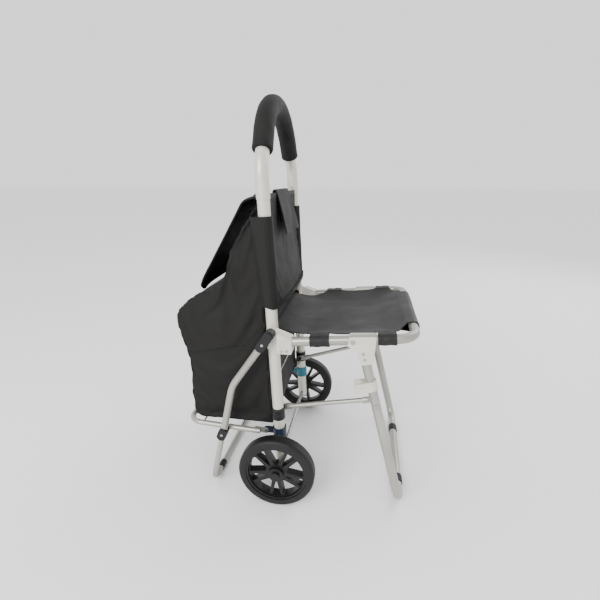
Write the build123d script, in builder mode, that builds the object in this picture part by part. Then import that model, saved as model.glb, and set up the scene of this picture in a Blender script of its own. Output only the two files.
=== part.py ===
from build123d import *
import os
from math import atan2, cos, radians, sin, tan

# Folding shopping cart with a seat. Millimetres, +Z up, +X towards the seat,
# +Y towards the right wheel. The origin is on the floor, at the middle of the
# whole cart's footprint, and the axle stands axle_x from it.

# ---- driving dimensions ----------------------------------------------------
axle_x = -20.1
wheel_radius = 87.5
wheel_width = 32.0
wheel_gap = 2.5              # from the axle spacer to the wheel's inner face
spacer_length = 19.4
axle_radius = 5.0
running = 0.08               # radial clearance of every turning fit
seated = 0.05                # clearance of parts that are fixed together
apart = 0.35                 # clearance of layers that slide past each other

tube_y = 154.5               # half the distance between the uprights
tube_radius = 12.6
tube_wall = 1.5
tube_bottom = wheel_radius - 12.5
tube_top = 719.0            # inside the bow's legs
lean = 2.5                   # degrees, uprights lean away from the seat

bow_wall = 1.1
bow_bore = tube_radius + 0.05    # the bow's legs slide over the uprights
bow_radius = bow_bore + bow_wall
bow_bottom = 682.0
bow_corner = 740.5           # height where the bow's legs turn inwards
bow_turn = 32.0              # degrees
bow_shoulder_radius = 60.0
bow_top_radius = 135.0
foam_radius = 20.5
foam_end = 770.0
button_height = 697.0
button_radius = 3.0
button_out = 3.0

frame_bolt_radius = 4.0
seat_pivot_z = 412.0
stay_pivot_z = 208.0
tie_rod_z = 293.0

seat_tube_radius = 10.0
seat_gap = 4.9               # between an upright and the seat's side tube
seat_y = tube_y + tube_radius + seat_gap + seat_tube_radius
seat_slope = 5.5             # degrees
seat_drop = 17.0             # seat tube's line below the seat pivot
seat_front = 296.0           # from the pivot to the front cross tube
seat_corner_radius = 36.0
plate = 4.0                  # thickness of the seat bracket's pivot plate
sheet = 2.5                  # thickness of the leg bracket's side plates
cloth = 1.2

leg_pivot_u = 171.5          # along the seat tube from the seat pivot
stay_joint = (212.5, 267.0)  # stay pivot on the leg, from the axle and the floor
leg_foot_x = 280.5
leg_tube_radius = 10.0
leg_corner_radius = 47.0
foot_pad = 2.0               # rubber under the floor tubes

stay_radius = 5.25
stay_plate = 4.0

strut_radius = 8.0
strut_bend = (-103.5, 282.0)
strut_end = (-130.8, 162.0)
knee_low = (-134.7, 152.0)
foot_radius = 6.5
foot_x = -168.0
foot_corner_radius = 40.0

platform_pivot = (-35.0, 157.0)
platform_radius = 6.3
platform_length = 190.0
platform_rise = 3.0          # degrees
wire_radius = 2.0

bag_half_width = tube_y - 2.5
bag_wall = 2.5
bag_bottom = 174.0
bag_bulge = 254.0            # furthest the bag reaches from the uprights' foot
lid_half_width = bag_half_width - 20
backrest_top = 690.0
backrest_bottom = 464.0

os.makedirs("parts", exist_ok=True)
sides = (("left", -1), ("right", 1))


# ---- places and planes -----------------------------------------------------
def tube_x(z):
    """The uprights' axis at height z, measured from the axle."""
    return -(z - wheel_radius) * tan(radians(lean))


def spot(x, y, z):
    """A point given from the axle's x, the middle plane and the floor."""
    return (axle_x + x, y, z)


def side_plane(y):
    return Plane(origin=(axle_x, y, 0), x_dir=(1, 0, 0), z_dir=(0, -1, 0))


def layer(sign, inner, outer):
    """Side-view plane from which extrude(outer - inner) fills inner to outer."""
    return side_plane(max(sign * inner, sign * outer))


def up_tube(height):
    """Distance along the leaning uprights from the axle to a height."""
    return (height - wheel_radius) / cos(radians(lean))


lean_in = (-sin(radians(lean)), 0, cos(radians(lean)))
frame_plane = Plane(
    origin=(axle_x, 0, wheel_radius),
    x_dir=(0, 1, 0),
    z_dir=(cos(radians(lean)), 0, sin(radians(lean))),
)
seat_plane = Plane(
    origin=spot(
        tube_x(seat_pivot_z) + seat_drop * sin(radians(seat_slope)),
        0,
        seat_pivot_z - seat_drop * cos(radians(seat_slope)),
    ),
    x_dir=(cos(radians(seat_slope)), 0, sin(radians(seat_slope))),
    z_dir=(-sin(radians(seat_slope)), 0, cos(radians(seat_slope))),
)
leg_floor_z = foot_pad + leg_tube_radius
leg_angle = atan2(leg_foot_x - stay_joint[0], stay_joint[1] - leg_floor_z)
leg_plane = Plane(
    origin=spot(stay_joint[0], 0, stay_joint[1]),
    x_dir=(sin(leg_angle), 0, -cos(leg_angle)),
    z_dir=(cos(leg_angle), 0, sin(leg_angle)),
)
platform_plane = Plane(
    origin=spot(platform_pivot[0], 0, platform_pivot[1]),
    x_dir=(-cos(radians(platform_rise)), 0, sin(radians(platform_rise))),
    z_dir=(sin(radians(platform_rise)), 0, cos(radians(platform_rise))),
)
leg_pivot_point = seat_plane.from_local_coords((leg_pivot_u, 0, 0))
leg_pivot = (leg_pivot_point.X - axle_x, leg_pivot_point.Z)
seat_pivot = (tube_x(seat_pivot_z), seat_pivot_z)
stay_pivot = (tube_x(stay_pivot_z), stay_pivot_z)


# ---- shared shapes ---------------------------------------------------------
def save(piece, name):
    piece.label = name
    export_step(piece, f"parts/{name}.step")


def cross_pin(at, radius, low_y, high_y, mode=Mode.ADD):
    """A round bar or bore along Y, between two distances from the middle."""
    middle = Location(spot(at[0], (low_y + high_y) / 2, at[1]), (90, 0, 0))
    with Locations(middle):
        Cylinder(radius, abs(high_y - low_y), mode=mode)


def link(sign, inner, outer, ends, radius, mode=Mode.ADD):
    """A flat link with round ends, seen from the side."""
    with BuildSketch(layer(sign, inner, outer), mode=Mode.PRIVATE) as outline:
        for end in ends:
            with Locations(end):
                Circle(radius)
        if len(ends) > 1:
            make_hull()
    extrude(outline.sketch, amount=outer - inner, mode=mode)


def slab(sign, inner, outer, points, radius=0, mode=Mode.ADD):
    """A flat plate with a side-view outline of straight edges, corners rounded."""
    with BuildSketch(layer(sign, inner, outer), mode=Mode.PRIVATE) as outline:
        Polygon(*points, align=None)
        if radius:
            fillet(outline.vertices(), radius)
    extrude(outline.sketch, amount=outer - inner, mode=mode)


def straight_tube(start, end, radius, bore=0):
    """A round bar between two points, hollow where it is given a bore."""
    run = Vector(*end) - Vector(*start)
    with BuildSketch(Plane(origin=start, z_dir=run), mode=Mode.PRIVATE) as ring:
        Circle(radius)
        if bore:
            Circle(bore, mode=Mode.SUBTRACT)
    extrude(ring.sketch, amount=run.length)


def bent_tube(plane, points, radii, radius, bore):
    """A tube of round section bent in one plane."""
    with BuildLine(plane, mode=Mode.PRIVATE) as route:
        FilletPolyline(*points, radius=radii)
    start = Plane(origin=route.line @ 0, z_dir=route.line % 0)
    with BuildSketch(start, mode=Mode.PRIVATE) as ring:
        Circle(radius)
        if bore:
            Circle(bore, mode=Mode.SUBTRACT)
    sweep(ring.sketch, path=route.line)


def tube_plane(sign, height):
    """Square across an upright at a height; local x points towards the seat."""
    return Plane(
        origin=spot(tube_x(height), sign * tube_y, height),
        x_dir=(cos(radians(lean)), 0, sin(radians(lean))),
        z_dir=lean_in,
    )


def collar(sign, low, high, outer, bore):
    """A ring round an upright between two heights."""
    with BuildSketch(tube_plane(sign, low), mode=Mode.PRIVATE) as ring:
        Circle(outer)
        Circle(bore, mode=Mode.SUBTRACT)
    extrude(ring.sketch, amount=up_tube(high) - up_tube(low))


# ---- uprights, plugs and handle --------------------------------------------
axle_point = (0, wheel_radius)
tube_inner_y = tube_y - tube_radius
tube_outer_y = tube_y + tube_radius
button_at = (tube_x(button_height), button_height)
for side, sign in sides:
    with BuildPart() as main_tube:
        collar(sign, tube_bottom, tube_top, tube_radius, tube_radius - tube_wall)
        for at, radius in (
            (axle_point, axle_radius),
            (seat_pivot, frame_bolt_radius),
            (stay_pivot, frame_bolt_radius - 1),
            ((tube_x(tie_rod_z), tie_rod_z), 1.75),
            (button_at, button_radius - seated + running),
        ):
            reach = tube_outer_y + 5 if radius > 2 else tube_y
            cross_pin(at, radius + seated, sign * (tube_y - 35), sign * reach, Mode.SUBTRACT)
    save(main_tube.part, f"main_tube_{side}")

with BuildPart() as tube_plugs:
    for side, sign in sides:
        with BuildSketch(tube_plane(sign, tube_bottom), mode=Mode.PRIVATE) as head:
            Circle(tube_radius)
        extrude(head.sketch, amount=-3)
        with BuildSketch(tube_plane(sign, tube_bottom), mode=Mode.PRIVATE) as stem:
            Circle(tube_radius - tube_wall - seated)
        extrude(stem.sketch, amount=6)
save(tube_plugs.part, "tube_plugs")

apex = up_tube(bow_corner) + tube_y / tan(radians(bow_turn))
bow_points = [
    (-tube_y, up_tube(bow_bottom)),
    (-tube_y, up_tube(bow_corner)),
    (0, apex),
    (tube_y, up_tube(bow_corner)),
    (tube_y, up_tube(bow_bottom)),
]
bow_radii = [bow_shoulder_radius, bow_top_radius, bow_shoulder_radius]
with BuildPart() as handle_bow:
    bent_tube(frame_plane, bow_points, bow_radii, bow_radius, bow_bore)
    for side, sign in sides:
        cross_pin(button_at, button_radius + running, sign * (tube_y - 35), sign * tube_y, Mode.SUBTRACT)
save(handle_bow.part, "handle_bow")

foam_y = tube_y - (up_tube(foam_end) - up_tube(bow_corner)) * tan(radians(bow_turn))
foam_points = [(-foam_y, up_tube(foam_end)), (0, apex), (foam_y, up_tube(foam_end))]
with BuildPart() as foam_grip:
    bent_tube(frame_plane, foam_points, bow_top_radius, foam_radius, bow_radius + seated)
save(foam_grip.part, "foam_grip")

for side, sign in sides:
    face = tube_y - bow_radius
    inside = face + bow_radius - tube_radius + tube_wall + 3.5
    with BuildPart() as snap_button:
        cross_pin(button_at, button_radius, sign * (face - button_out), sign * inside)
        cross_pin(button_at, button_radius + 2, sign * inside, sign * (inside + 1.5))
    save(snap_button.part, f"snap_button_{side}")

# ---- axle and wheels ---------------------------------------------------------
wheel_inner = tube_outer_y + spacer_length + wheel_gap
wheel_outer = wheel_inner + wheel_width
wheel_middle = (wheel_inner + wheel_outer) / 2
cap_thickness = 5.0
axle_end = wheel_outer + 1 + cap_thickness
with BuildPart() as axle:
    cross_pin(axle_point, axle_radius, -axle_end + 2, axle_end - 2)
save(axle.part, "axle")

with BuildPart() as axle_spacers:
    for side, sign in sides:
        inner = sign * (tube_outer_y + apart)
        outer = sign * (wheel_inner - 1.5)
        cross_pin(axle_point, 8.5, inner, outer)
        cross_pin(axle_point, axle_radius + seated, inner, outer, Mode.SUBTRACT)
save(axle_spacers.part, "axle_spacers")

with BuildPart() as axle_caps:
    for side, sign in sides:
        inner = sign * (wheel_outer + 1.3)
        cross_pin(axle_point, 9, inner, sign * axle_end)
        cross_pin(axle_point, axle_radius + seated, inner, sign * (axle_end - 2), Mode.SUBTRACT)
save(axle_caps.part, "axle_caps")

rim_radius = wheel_radius - 17.5
window_radius = rim_radius - 7
hub_radius = 17.0
face_recess = 4.5            # the spokes lie this far below the rim's edge


def wheel_window(turn, half_inner, half_outer):
    """One window between two spokes, given by its half angles in degrees."""
    inner = hub_radius + 6
    corners = [
        (inner * cos(radians(a)), wheel_radius + inner * sin(radians(a)))
        for a in (turn + half_inner, turn - half_inner)
    ]
    corners += [
        (window_radius * cos(radians(a)), wheel_radius + window_radius * sin(radians(a)))
        for a in (turn - half_outer, turn, turn + half_outer)
    ]
    return corners


for side, sign in sides:
    with BuildPart() as wheel_centre:
        inner, outer = sign * (wheel_inner + 2), sign * (wheel_outer - 2)
        cross_pin(axle_point, rim_radius, inner, outer)
        for face, depth in ((inner, sign * face_recess), (outer, -sign * face_recess)):
            cross_pin(axle_point, rim_radius - 5, face, face + depth, Mode.SUBTRACT)
        cross_pin(axle_point, hub_radius, sign * wheel_inner, sign * (wheel_outer + 1))
        for fifth in range(5):
            turn = 90 + 72 * fifth
            low, high = wheel_inner, wheel_outer
            slab(sign, low, high, wheel_window(turn, 9, 20.5), 3, Mode.SUBTRACT)
            slab(sign, low, high, wheel_window(turn + 36, 2.6, 10), 1, Mode.SUBTRACT)
        cross_pin(axle_point, axle_radius + 3, sign * tube_y, sign * (axle_end + 5), Mode.SUBTRACT)
    save(wheel_centre.part, f"wheel_centre_{side}")

    with BuildPart() as wheel_bush:
        ends = (sign * wheel_inner, sign * (wheel_outer + 1))
        cross_pin(axle_point, axle_radius + 3 - seated, *ends)
        cross_pin(axle_point, axle_radius + running, *ends, Mode.SUBTRACT)
    save(wheel_bush.part, f"wheel_bush_{side}")

    with BuildPart() as tyre:
        with BuildSketch(Plane(origin=(axle_x, 0, wheel_radius), z_dir=(1, 0, 0), x_dir=(0, 1, 0))):
            with Locations((sign * wheel_middle, (wheel_radius + rim_radius) / 2)):
                Rectangle(wheel_width, wheel_radius - rim_radius - seated)
        revolve(axis=Axis((axle_x, 0, wheel_radius), (0, 1, 0)))
        edges = tyre.edges().filter_by(GeomType.CIRCLE)
        fillet(edges.filter_by(lambda edge: edge.radius > wheel_radius - 1), 8)
    save(tyre.part, f"tyre_{side}")

# ---- clamps, bolts and rod on the uprights -----------------------------------
clamp_bore = tube_radius + seated
stay_inner = tube_inner_y - 10      # inner face of the stay's end plate
for side, sign in sides:
    with BuildPart() as platform_clamp:
        collar(sign, 143, 171, tube_radius + 3, clamp_bore)
        ear = (platform_pivot, (tube_x(157) - tube_radius - 1, 157))
        link(sign, tube_y - 5, tube_y - apart, ear, 7.5)
        with BuildSketch(tube_plane(sign, 130), mode=Mode.PRIVATE) as bore:
            Circle(clamp_bore)
        extrude(bore.sketch, amount=60, mode=Mode.SUBTRACT)
        cross_pin(platform_pivot, 3 + seated, sign * tube_inner_y, sign * (tube_y + 5), Mode.SUBTRACT)
    save(platform_clamp.part, f"platform_clamp_{side}")

    with BuildPart() as stay_clamp:
        collar(sign, stay_pivot_z - 14, stay_pivot_z + 14, tube_radius + 2.2, clamp_bore)
        boss = (stay_inner + stay_plate + apart, tube_inner_y - 1)
        cross_pin(stay_pivot, 8, sign * boss[0], sign * boss[1])
        with BuildSketch(tube_plane(sign, stay_pivot_z - 20), mode=Mode.PRIVATE) as bore:
            Circle(clamp_bore)
        extrude(bore.sketch, amount=40, mode=Mode.SUBTRACT)
        cross_pin(stay_pivot, 3 + seated, sign * (stay_inner - 10), sign * (tube_outer_y + 10), Mode.SUBTRACT)
    save(stay_clamp.part, f"stay_clamp_{side}")

with BuildPart() as stay_pins:
    for side, sign in sides:
        shaft = (sign * (stay_inner - apart), sign * (tube_outer_y + 3))
        cross_pin(stay_pivot, 3, *shaft)
        cross_pin(stay_pivot, 5.5, sign * (stay_inner - apart - 2), sign * (stay_inner - apart))
        cross_pin(stay_pivot, 5.5, sign * (tube_outer_y + 2.6), sign * (tube_outer_y + 4.5))
save(stay_pins.part, "stay_pins")

cap_inner = tube_outer_y + apart + plate + apart
cap_outer = seat_y + strut_radius + 0.7
with BuildPart() as frame_bolts:
    for side, sign in sides:
        cross_pin(seat_pivot, frame_bolt_radius, sign * (tube_inner_y - 1), sign * cap_outer)
        cross_pin(seat_pivot, 7, sign * (tube_inner_y - 5), sign * (tube_inner_y - 1))
        cross_pin(seat_pivot, 6, sign * (cap_outer + apart), sign * (cap_outer + 2.2))
        cross_pin(seat_pivot, frame_bolt_radius, sign * cap_outer, sign * (cap_outer + 1))
save(frame_bolts.part, "frame_bolts")

with BuildPart() as tie_rod:
    at = (tube_x(tie_rod_z), tie_rod_z)
    cross_pin(at, 1.75, -tube_y + 5, tube_y - 5)
save(tie_rod.part, "tie_rod")

platform_eye = (tube_y + apart, tube_y + 4.5)
with BuildPart() as platform_pins:
    for side, sign in sides:
        cross_pin(platform_pivot, 3, sign * (tube_y - 6), sign * (platform_eye[1] + 1))
        cross_pin(platform_pivot, 5, sign * (tube_y - 8), sign * (tube_y - 5 - seated))
        cross_pin(platform_pivot, 5, sign * (platform_eye[1] + apart), sign * (platform_eye[1] + 2))
save(platform_pins.part, "platform_pins")

# ---- backrest cloth: two sleeves with a panel between them --------------------
sleeve_bore = tube_radius + 0.2
sleeve_radius = sleeve_bore + cloth
sleeve_top = 650.0
with BuildPart() as backrest:
    for side, sign in sides:
        collar(sign, backrest_bottom, sleeve_top, sleeve_radius, sleeve_bore)
    panel_y = tube_y - (sleeve_bore + sleeve_radius) / 2
    panel_top_y = tube_y - bow_radius - 1
    with BuildSketch(frame_plane, mode=Mode.PRIVATE) as panel:
        Polygon(
            (-panel_y, up_tube(backrest_bottom)),
            (panel_y, up_tube(backrest_bottom)),
            (panel_y, up_tube(bow_bottom - 4)),
            (panel_top_y, up_tube(bow_bottom - 4)),
            (panel_top_y, up_tube(backrest_top)),
            (-panel_top_y, up_tube(backrest_top)),
            (-panel_top_y, up_tube(bow_bottom - 4)),
            (-panel_y, up_tube(bow_bottom - 4)),
            align=None,
        )
    extrude(panel.sketch, amount=cloth, both=True)
save(backrest.part, "backrest")

tab_half_width = 70.0
tab_low = (5.0, 604.0)
tab_top_x = tube_x(backrest_top) + cloth + 1
with BuildPart() as backrest_tab:
    outline = [
        (tab_top_x, backrest_top),
        (tab_top_x + 1.6, backrest_top + 4),
        (tab_low[0] + 1.6, tab_low[1] + 0.5),
        tab_low,
    ]
    slab(-1, -tab_half_width, tab_half_width, outline)
save(backrest_tab.part, "backrest_tab")

# ---- bag and lid --------------------------------------------------------------
bag_back = tube_x(bag_bottom) - tube_radius - 2
bag_outline = [
    (bag_back, bag_bottom),
    (-214, bag_bottom),
    (-219, 318),
    (-bag_bulge, 412),
    (-bag_bulge + 14, 452),
    (-170, 498),
    (-120, 516),
    (-104, 572),
    (-58, 650),
    (tube_x(660) - tube_radius - 4, 672),
    (tube_x(420) - tube_radius - 3, 420),
]
with BuildPart() as bag_body:
    with BuildSketch(layer(-1, -bag_half_width, bag_half_width), mode=Mode.PRIVATE) as side_view:
        Polygon(*bag_outline, align=None)
        low_front = side_view.vertices().sort_by_distance(bag_outline[1])[0]
        fillet(low_front, 22)
        for corner in (3, 4):
            fillet(side_view.vertices().sort_by_distance(bag_outline[corner])[0], 14)
    extrude(side_view.sketch, amount=2 * bag_half_width)
    inner_y = bag_half_width - bag_wall
    with BuildSketch(layer(-1, -inner_y, inner_y), mode=Mode.PRIVATE) as hollow:
        offset(side_view.sketch_local, amount=-bag_wall)
        with BuildLine():
            Polyline(
                (-163, 491),
                (-100, 508),
                (-50, 640),
                (-38, 700),
                (-250, 700),
                (-180, 520),
                close=True,
            )
        make_face()
    extrude(hollow.sketch, amount=2 * inner_y, mode=Mode.SUBTRACT)
save(bag_body.part, "bag_body")

lid_hinge = (tube_x(684) - 12, 684.0)
lid_outline = [
    (lid_hinge[0] + 1.5, lid_hinge[1] - 2),
    (lid_hinge[0] + 1.5, lid_hinge[1] + 2),
    (-66, 683),
    (-100, 655),
    (-172, 502),
    (-169, 500),
    (-98, 650),
    (-65, 678),
]
with BuildPart() as bag_lid:
    slab(-1, -lid_half_width, lid_half_width, lid_outline)
save(bag_lid.part, "bag_lid")

# ---- seat ---------------------------------------------------------------------
bracket_inner = tube_outer_y + apart
bracket_outer = seat_y + seat_tube_radius + 2.2
housing_x = 3.0
bracket_end_x = 34.0
seat_tube_start = 20.0
with BuildPart() as seat_tube:
    points = [
        (seat_tube_start, -seat_y),
        (seat_front, -seat_y),
        (seat_front, seat_y),
        (seat_tube_start, seat_y),
    ]
    bore = seat_tube_radius - tube_wall
    bent_tube(seat_plane, points, seat_corner_radius, seat_tube_radius, bore)
    for side, sign in sides:
        cross_pin(leg_pivot, 3 + seated, sign * (seat_y - 18), sign * (seat_y + 18), Mode.SUBTRACT)
save(seat_tube.part, "seat_tube")

for side, sign in sides:
    with BuildPart() as seat_bracket:
        outline = [(-24, 373), (bracket_end_x, 375), (bracket_end_x, 409), (-3, 423)]
        slab(sign, bracket_inner, bracket_inner + plate, outline, 3)
        link(sign, bracket_inner, bracket_inner + plate, (seat_pivot, (0, 405)), 11)
        housing = [(housing_x, 375), (bracket_end_x, 375), (bracket_end_x, 409), (housing_x, 419)]
        slab(sign, bracket_inner, bracket_outer, housing, 3)
        start = seat_plane.from_local_coords((seat_tube_start, sign * seat_y, 0))
        end = seat_plane.from_local_coords((seat_tube_start + 60, sign * seat_y, 0))
        with BuildSketch(Plane(origin=start, z_dir=end - start), mode=Mode.PRIVATE) as socket:
            Circle(seat_tube_radius + seated)
        extrude(socket.sketch, amount=60, mode=Mode.SUBTRACT)
        cross_pin(seat_pivot, frame_bolt_radius + running, sign * tube_y, sign * (seat_y + 18), Mode.SUBTRACT)
    save(seat_bracket.part, f"seat_bracket_{side}")

with BuildPart() as seat_screws:
    for side, sign in sides:
        for at in ((12, 380.5), (24, 382)):
            cross_pin(at, 3, sign * bracket_outer, sign * (bracket_outer + 1.2))
save(seat_screws.part, "seat_screws")

sling_y = tube_outer_y - 0.4
wrap_half = tube_y - 36.5
tab_spans = ((77.0, 121.0), (223.0, 258.0))
wrap_radius = seat_tube_radius + seated + cloth
with BuildPart() as seat_sling:
    with BuildSketch(seat_plane.offset(-1.5), mode=Mode.PRIVATE) as panel:
        Polygon(
            (18, -sling_y),
            (seat_front - 38, -sling_y),
            (seat_front - seat_tube_radius - seated, -wrap_half - 8),
            (seat_front - seat_tube_radius - seated, wrap_half + 8),
            (seat_front - 38, sling_y),
            (18, sling_y),
            align=None,
        )
    extrude(panel.sketch, amount=-2 * cloth)
    for side, sign in sides:
        for low, high in tab_spans:
            start = seat_plane.from_local_coords((low, sign * seat_y, 0))
            ring_plane = Plane(origin=start, z_dir=seat_plane.x_dir)
            with BuildSketch(ring_plane, mode=Mode.PRIVATE) as ring:
                Circle(wrap_radius)
                Circle(seat_tube_radius + seated, mode=Mode.SUBTRACT)
            extrude(ring.sketch, amount=high - low)
            with BuildSketch(seat_plane.offset(-1.5), mode=Mode.PRIVATE) as bridge:
                middle = (sling_y - 2 + seat_y - seat_tube_radius) / 2
                with Locations(((low + high) / 2, sign * middle)):
                    Rectangle(high - low, seat_y - seat_tube_radius - sling_y + 2 - seated)
            extrude(bridge.sketch, amount=-2 * cloth)
    start = seat_plane.from_local_coords((seat_front, -wrap_half, 0))
    with BuildSketch(Plane(origin=start, z_dir=(0, 1, 0)), mode=Mode.PRIVATE) as ring:
        Circle(wrap_radius)
        Circle(seat_tube_radius + seated, mode=Mode.SUBTRACT)
    extrude(ring.sketch, amount=2 * wrap_half)
save(seat_sling.part, "seat_sling")

leg_plate_inner = (seat_y - seat_tube_radius - 0.3 - sheet, seat_y - seat_tube_radius - 0.3)
leg_plate_outer = (seat_y + seat_tube_radius + 0.3, seat_y + seat_tube_radius + 0.3 + sheet)
with BuildPart() as leg_pivots:
    for side, sign in sides:
        head = (sign * (leg_plate_outer[1] + apart), sign * (leg_plate_outer[1] + 2))
        cross_pin(leg_pivot, 3, sign * (leg_plate_inner[0] + 0.2), head[1])
        cross_pin(leg_pivot, 5, *head)
save(leg_pivots.part, "leg_pivots")

# ---- rear leg -------------------------------------------------------------------
leg_top = (stay_joint[1] - 394) / cos(leg_angle)
leg_reach = (stay_joint[1] - leg_floor_z) / cos(leg_angle)
with BuildPart() as leg_tube:
    points = [(leg_top, -seat_y), (leg_reach, -seat_y), (leg_reach, seat_y), (leg_top, seat_y)]
    bore = leg_tube_radius - tube_wall
    bent_tube(leg_plane, points, leg_corner_radius, leg_tube_radius, bore)
    for side, sign in sides:
        cross_pin(stay_joint, 3 + seated, sign * (seat_y - 18), sign * (seat_y + 18), Mode.SUBTRACT)
save(leg_tube.part, "leg_tube")


def leg_x(z):
    """The rear leg's axis at height z, from the axle."""
    return stay_joint[0] + (stay_joint[1] - z) * tan(leg_angle)


leg_bracket_outline = [
    (leg_pivot[0] - 10, leg_pivot[1] - 9),
    (leg_pivot[0] - 7, leg_pivot[1] + 10),
    (leg_pivot[0] + 46, leg_pivot[1] + 14),
    (leg_x(360) + 14, 368),
    (leg_x(360) - 9, 362),
    (leg_x(390) - 11, 392),
]
for side, sign in sides:
    with BuildPart() as leg_bracket:
        for low, high in (leg_plate_inner, leg_plate_outer):
            slab(sign, low, high, leg_bracket_outline, 3)
        low, high = leg_plate_inner[1] - 0.5, leg_plate_outer[0] + 0.5
        web = [
            (leg_x(394) - 12, 394),
            (leg_x(394) + 13, 396.5),
            (leg_x(366) + 12.5, 369),
            (leg_x(366) - 11, 366),
        ]
        slab(sign, low, high, web)
        start = leg_plane.from_local_coords((leg_top - 0.2, sign * seat_y, 0))
        with BuildSketch(Plane(origin=start, z_dir=leg_plane.x_dir), mode=Mode.PRIVATE) as socket:
            Circle(leg_tube_radius + seated)
        extrude(socket.sketch, amount=60, mode=Mode.SUBTRACT)
        cross_pin(leg_pivot, 3 + running, sign * (seat_y - 30), sign * (seat_y + 30), Mode.SUBTRACT)
    save(leg_bracket.part, f"leg_bracket_{side}")

with BuildPart() as leg_screws:
    for side, sign in sides:
        face = leg_plate_outer[1]
        for z in (388, 375):
            cross_pin((leg_x(z), z), 3, sign * face, sign * (face + 1.3))
save(leg_screws.part, "leg_screws")

clip_z = 314.0
clip_height = 22.0
clip_reach = 28.0            # from the leg's axis to the folded seat tube's axis
for side, sign in sides:
    with BuildPart() as storage_clip:
        along = (stay_joint[1] - clip_z) / cos(leg_angle) - clip_height / 2
        base = leg_plane.from_local_coords((along, sign * seat_y, 0))
        clip_plane = Plane(origin=base, x_dir=(0, 1, 0), z_dir=leg_plane.x_dir)
        with BuildSketch(clip_plane, mode=Mode.PRIVATE) as profile:
            Circle(leg_tube_radius + 2.4)
            with Locations((0, -clip_reach / 2 - 4)):
                Rectangle(2 * seat_tube_radius + 5, clip_reach + 8)
            with Locations((0, -clip_reach)):
                Circle(seat_tube_radius + 0.5, mode=Mode.SUBTRACT)
            with Locations((0, -clip_reach - 12)):
                Rectangle(2 * seat_tube_radius + 1, 24, mode=Mode.SUBTRACT)
            Circle(leg_tube_radius + seated, mode=Mode.SUBTRACT)
        extrude(profile.sketch, amount=clip_height)
    save(storage_clip.part, f"storage_clip_{side}")

stay_outer = tube_y + 4      # outer face of the stay's plate at the leg
with BuildPart() as stay_spacers:
    for side, sign in sides:
        cross_pin(stay_joint, 6, sign * (stay_outer + 0.4), sign * (seat_y - leg_tube_radius + 1.5))
        with BuildSketch(Plane(origin=leg_plane.origin + Vector(0, sign * seat_y, 0),
                               z_dir=leg_plane.x_dir), mode=Mode.PRIVATE) as around:
            Circle(leg_tube_radius + seated)
        extrude(around.sketch, amount=20, both=True, mode=Mode.SUBTRACT)
        cross_pin(stay_joint, 3, sign * (stay_outer + 0.4), sign * (seat_y + leg_tube_radius + 1))
        cross_pin(stay_joint, 5, sign * (seat_y + leg_tube_radius + 0.5), sign * (seat_y + leg_tube_radius + 2))
save(stay_spacers.part, "stay_rivets")

with BuildPart() as leg_pads:
    for side, sign in sides:
        with Locations(Location(spot(leg_foot_x, sign * 105, leg_floor_z), (90, 0, 0))):
            Cylinder(leg_tube_radius + foot_pad, 24)
            Cylinder(leg_tube_radius + seated, 30, mode=Mode.SUBTRACT)
        with Locations(Location(spot(leg_foot_x, sign * 105, foot_pad / 2))):
            Box(14, 24, foot_pad)
        with Locations(Location(spot(leg_foot_x, sign * 105, leg_floor_z), (90, 0, 0))):
            Cylinder(leg_tube_radius + seated, 30, mode=Mode.SUBTRACT)
save(leg_pads.part, "leg_pads")

# ---- stays --------------------------------------------------------------------
for side, sign in sides:
    with BuildPart() as stay:
        run = Vector(stay_joint[0] - stay_pivot[0], 0, stay_joint[1] - stay_pivot[1])
        step = run.normalized()
        low_y = stay_inner + stay_plate / 2 - 0.5
        high_y = stay_outer - stay_plate / 2 - 0.5
        first = Vector(*spot(stay_pivot[0], sign * low_y, stay_pivot[1])) + step * 16
        last = Vector(*spot(stay_joint[0], sign * high_y, stay_joint[1])) - step * 16
        straight_tube(first, last, stay_radius)
        near_end = (stay_pivot[0] + step.X * 26, stay_pivot[1] + step.Z * 26)
        far_end = (stay_joint[0] - step.X * 26, stay_joint[1] - step.Z * 26)
        link(sign, stay_inner, stay_inner + stay_plate, (stay_pivot, near_end), 7)
        link(sign, stay_outer - stay_plate, stay_outer, (stay_joint, far_end), 7)
        cross_pin(stay_pivot, 3 + running, sign * (stay_inner - 5), sign * tube_inner_y, Mode.SUBTRACT)
    save(stay.part, f"stay_{side}")

# ---- front leg ------------------------------------------------------------------
cap_run = Vector(strut_bend[0] - seat_pivot[0], 0, strut_bend[1] - seat_pivot[1]).normalized()
cap_end = (seat_pivot[0] + cap_run.X * 35, seat_pivot[1] + cap_run.Z * 35)
for side, sign in sides:
    strut_plane = side_plane(sign * seat_y)
    with BuildPart() as strut:
        top = (seat_pivot[0] + cap_run.X * 14, seat_pivot[1] + cap_run.Z * 14)
        bent_tube(strut_plane, [top, strut_bend, strut_end], 90, strut_radius, strut_radius - tube_wall)
    save(strut.part, f"strut_{side}")

    with BuildPart() as strut_cap:
        link(sign, cap_inner, cap_outer, (seat_pivot, cap_end), 10.5)
        route_end = (seat_pivot[0] + cap_run.X * 60, seat_pivot[1] + cap_run.Z * 60)
        bore_start = spot(top[0], sign * seat_y, top[1])
        bore_end = spot(route_end[0], sign * seat_y, route_end[1])
        run = Vector(*bore_end) - Vector(*bore_start)
        with BuildSketch(Plane(origin=bore_start, z_dir=run), mode=Mode.PRIVATE) as socket:
            Circle(strut_radius + seated)
        extrude(socket.sketch, amount=50, mode=Mode.SUBTRACT)
        cross_pin(seat_pivot, frame_bolt_radius + running, sign * tube_y, sign * (seat_y + 18), Mode.SUBTRACT)
    save(strut_cap.part, f"strut_cap_{side}")

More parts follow.
